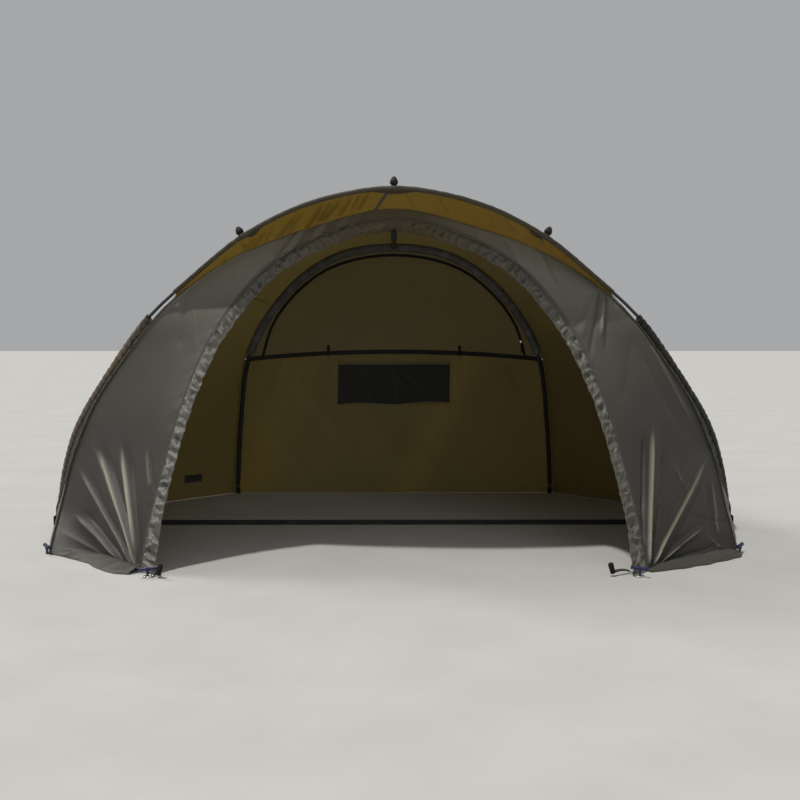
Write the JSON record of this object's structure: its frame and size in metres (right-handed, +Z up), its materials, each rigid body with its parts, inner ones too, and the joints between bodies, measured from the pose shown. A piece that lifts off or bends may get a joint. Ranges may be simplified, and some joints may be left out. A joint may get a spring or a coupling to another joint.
{
  "type": "open-fronted fishing shelter",
  "caption": "Open-fronted arched fishing shelter: pole frame, stretched skin with a peak, gathered front opening and a flat back wall with a mesh window.",
  "frame": {"origin": "on the ground under the middle of the whole shelter", "axes": "+X to the right seen from the open front, +Y from the open front to the flat back wall, +Z up"},
  "size_m": [2.9226, 2.027, 1.3813],
  "materials": {
    "cloth": "grey-khaki coated polyester, plain weave, soft sheen",
    "peak_cloth": "same polyester seen from its gold-olive coated side",
    "wall_cloth": "olive-brown coated inner side, plain weave",
    "sleeve_cloth": "brown-khaki gathered polyester",
    "grey_cloth": "dark grey webbing-like sleeve cloth",
    "mesh_cloth": "black fine insect mesh",
    "webbing": "black woven webbing",
    "dark_metal": "dark satin coated alloy tube",
    "steel": "plain bright steel",
    "black_plastic": "moulded black plastic",
    "blue_plastic": "moulded dark blue plastic peg head"
  },
  "bodies": {
    "root": {"front_pole": "dark_metal", "back_pole": "dark_metal", "roof_tension_bar": "dark_metal", "tension_bar_block": "black_plastic", "left_hub": "black_plastic", "right_hub": "black_plastic", "left_back_foot": "black_plastic", "right_back_foot": "black_plastic", "ridge_knob": "black_plastic", "left_knob": "black_plastic", "right_knob": "black_plastic", "left_pole_sleeve": "sleeve_cloth", "right_pole_sleeve": "sleeve_cloth", "peak_hem": "sleeve_cloth", "peak": "peak_cloth", "roof_panel": "cloth", "left_side_panel": "cloth", "right_side_panel": "cloth", "front_header": "cloth", "left_wing": "cloth", "right_wing": "cloth", "front_rim": "cloth", "back_lower_wall": "wall_cloth", "back_door_panel": "wall_cloth", "back_arch_border": "wall_cloth", "window_storm_flap": "cloth", "mesh_window": "mesh_cloth", "back_pole_sleeve": "grey_cloth", "hinge_tape": "webbing", "zip_arc": "black_plastic", "zip_slider": "steel", "left_door_toggle": "black_plastic", "right_door_toggle": "black_plastic", "wall_patch": "webbing", "ground_strap": "webbing", "left_front_peg": "blue_plastic", "right_front_peg": "blue_plastic", "left_corner_peg": "blue_plastic", "right_corner_peg": "blue_plastic", "left_back_peg": "blue_plastic", "right_back_peg": "blue_plastic", "left_peg_ring": "steel", "right_peg_ring": "steel", "left_peg_tab": "webbing", "right_peg_tab": "webbing"}
  },
  "joints": []
}
